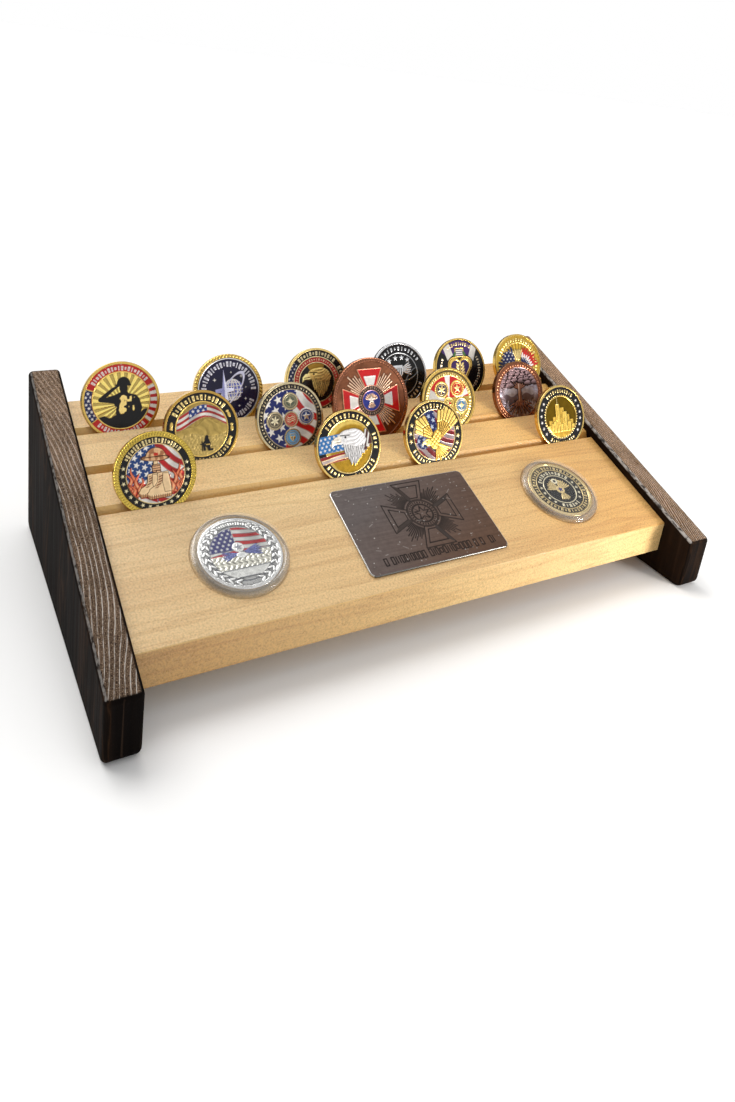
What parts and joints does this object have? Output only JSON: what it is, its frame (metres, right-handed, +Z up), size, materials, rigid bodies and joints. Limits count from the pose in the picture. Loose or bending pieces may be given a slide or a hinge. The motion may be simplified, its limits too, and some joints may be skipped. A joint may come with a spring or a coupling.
{
  "type": "challenge coin display rack",
  "caption": "Sloping wooden desk rack with dark side panels; coins stand in saw-cut slots behind a card plaque flanked by coins in clear capsules.",
  "frame": {"origin": "middle of the rack's footprint, on the table", "axes": "+X along the slots to the right, +Y from the low front to the high back, +Z up"},
  "size_m": [0.343, 0.18, 0.1058],
  "materials": {
    "stained_panel": "dark espresso stain, satin, grain showing on the sawn edges",
    "deck_wood": "pale maple, clear satin lacquer",
    "dowel_wood": "plain beech",
    "plaque_metal": "anodised gunmetal grey, bright cut edge",
    "coin_gold": "polished gold plate with coloured enamel",
    "coin_silver": "polished nickel plate with coloured enamel",
    "coin_bronze": "antique bronze plate with enamel",
    "coin_copper": "antique copper plate, plain relief",
    "clear_plastic": "clear moulded acrylic"
  },
  "bodies": {
    "rack": {"left_side_panel": "stained_panel", "right_side_panel": "stained_panel", "deck_board": "deck_wood", "dowel_left_front": "dowel_wood", "dowel_left_back": "dowel_wood", "dowel_right_front": "dowel_wood", "dowel_right_back": "dowel_wood", "card_plaque": "plaque_metal"},
    "coin_body_back_1_silhouette": {"coin_back_1_silhouette": "coin_gold"},
    "coin_body_back_2_planet": {"coin_back_2_planet": "coin_gold"},
    "coin_body_back_3_bird_head": {"coin_back_3_bird_head": "coin_gold"},
    "coin_body_back_4_black_star": {"coin_back_4_black_star": "coin_silver"},
    "coin_body_back_5_heart": {"coin_back_5_heart": "coin_gold"},
    "coin_body_back_6_winged": {"coin_back_6_winged": "coin_gold"},
    "coin_body_middle_1_relief_flag": {"coin_middle_1_relief_flag": "coin_gold"},
    "coin_body_middle_2_five_medallions": {"coin_middle_2_five_medallions": "coin_gold"},
    "coin_body_middle_3_large_cross": {"coin_middle_3_large_cross": "coin_bronze"},
    "coin_body_middle_4_branches": {"coin_middle_4_branches": "coin_gold"},
    "coin_body_middle_5_tree": {"coin_middle_5_tree": "coin_copper"},
    "coin_body_front_1_rope_rim": {"coin_front_1_rope_rim": "coin_gold"},
    "coin_body_front_2_white_bird": {"coin_front_2_white_bird": "coin_gold"},
    "coin_body_front_3_gold_bird": {"coin_front_3_gold_bird": "coin_gold"},
    "coin_body_front_4_skyline": {"coin_front_4_skyline": "coin_gold"},
    "capsule_left": {"capsule_base_left": "clear_plastic"},
    "capsule_left_lid": {"capsule_lid_left": "clear_plastic"},
    "capsule_left_coin": {"capsule_coin_left": "coin_silver"},
    "capsule_right": {"capsule_base_right": "clear_plastic"},
    "capsule_right_lid": {"capsule_lid_right": "clear_plastic"},
    "capsule_right_coin": {"capsule_coin_right": "coin_gold"}
  },
  "joints": [
    {"name": "lift_back_1_silhouette", "type": "slide", "parent": "rack", "child": "coin_body_back_1_silhouette", "axis": [0, 0.3955, 0.9184], "range_m": [0, 0.06]},
    {"name": "lift_back_2_planet", "type": "slide", "parent": "rack", "child": "coin_body_back_2_planet", "axis": [0, 0.3955, 0.9184], "range_m": [0, 0.06]},
    {"name": "lift_back_3_bird_head", "type": "slide", "parent": "rack", "child": "coin_body_back_3_bird_head", "axis": [0, 0.3955, 0.9184], "range_m": [0, 0.06]},
    {"name": "lift_back_4_black_star", "type": "slide", "parent": "rack", "child": "coin_body_back_4_black_star", "axis": [0, 0.3955, 0.9184], "range_m": [0, 0.06]},
    {"name": "lift_back_5_heart", "type": "slide", "parent": "rack", "child": "coin_body_back_5_heart", "axis": [0, 0.3955, 0.9184], "range_m": [0, 0.06]},
    {"name": "lift_back_6_winged", "type": "slide", "parent": "rack", "child": "coin_body_back_6_winged", "axis": [0, 0.3955, 0.9184], "range_m": [0, 0.06]},
    {"name": "lift_middle_1_relief_flag", "type": "slide", "parent": "rack", "child": "coin_body_middle_1_relief_flag", "axis": [0, 0.3955, 0.9184], "range_m": [0, 0.06]},
    {"name": "lift_middle_2_five_medallions", "type": "slide", "parent": "rack", "child": "coin_body_middle_2_five_medallions", "axis": [0, 0.3955, 0.9184], "range_m": [0, 0.06]},
    {"name": "lift_middle_3_large_cross", "type": "slide", "parent": "rack", "child": "coin_body_middle_3_large_cross", "axis": [0, 0.3955, 0.9184], "range_m": [0, 0.06]},
    {"name": "lift_middle_4_branches", "type": "slide", "parent": "rack", "child": "coin_body_middle_4_branches", "axis": [0, 0.3955, 0.9184], "range_m": [0, 0.06]},
    {"name": "lift_middle_5_tree", "type": "slide", "parent": "rack", "child": "coin_body_middle_5_tree", "axis": [0, 0.3955, 0.9184], "range_m": [0, 0.06]},
    {"name": "lift_front_1_rope_rim", "type": "slide", "parent": "rack", "child": "coin_body_front_1_rope_rim", "axis": [0, 0.3955, 0.9184], "range_m": [0, 0.06]},
    {"name": "lift_front_2_white_bird", "type": "slide", "parent": "rack", "child": "coin_body_front_2_white_bird", "axis": [0, 0.3955, 0.9184], "range_m": [0, 0.06]},
    {"name": "lift_front_3_gold_bird", "type": "slide", "parent": "rack", "child": "coin_body_front_3_gold_bird", "axis": [0, 0.3955, 0.9184], "range_m": [0, 0.06]},
    {"name": "lift_front_4_skyline", "type": "slide", "parent": "rack", "child": "coin_body_front_4_skyline", "axis": [0, 0.3955, 0.9184], "range_m": [0, 0.06]},
    {"name": "lift_capsule_left", "type": "slide", "parent": "rack", "child": "capsule_left", "axis": [0, -0.3289, 0.9444], "range_m": [0, 0.04]},
    {"name": "open_capsule_left", "type": "slide", "parent": "capsule_left", "child": "capsule_left_lid", "axis": [0, -0.3289, 0.9444], "range_m": [0, 0.03]},
    {"name": "lift_capsule_coin_left", "type": "slide", "parent": "capsule_left", "child": "capsule_left_coin", "axis": [0, -0.3289, 0.9444], "range_m": [0, 0.015]},
    {"name": "lift_capsule_right", "type": "slide", "parent": "rack", "child": "capsule_right", "axis": [0, -0.3289, 0.9444], "range_m": [0, 0.04]},
    {"name": "open_capsule_right", "type": "slide", "parent": "capsule_right", "child": "capsule_right_lid", "axis": [0, -0.3289, 0.9444], "range_m": [0, 0.03]},
    {"name": "lift_capsule_coin_right", "type": "slide", "parent": "capsule_right", "child": "capsule_right_coin", "axis": [0, -0.3289, 0.9444], "range_m": [0, 0.015]}
  ],
  "couplings": [
    {"joint": "lift_capsule_coin_left", "follows": "open_capsule_left", "ratio": 0.5},
    {"joint": "lift_capsule_coin_right", "follows": "open_capsule_right", "ratio": 0.5}
  ]
}
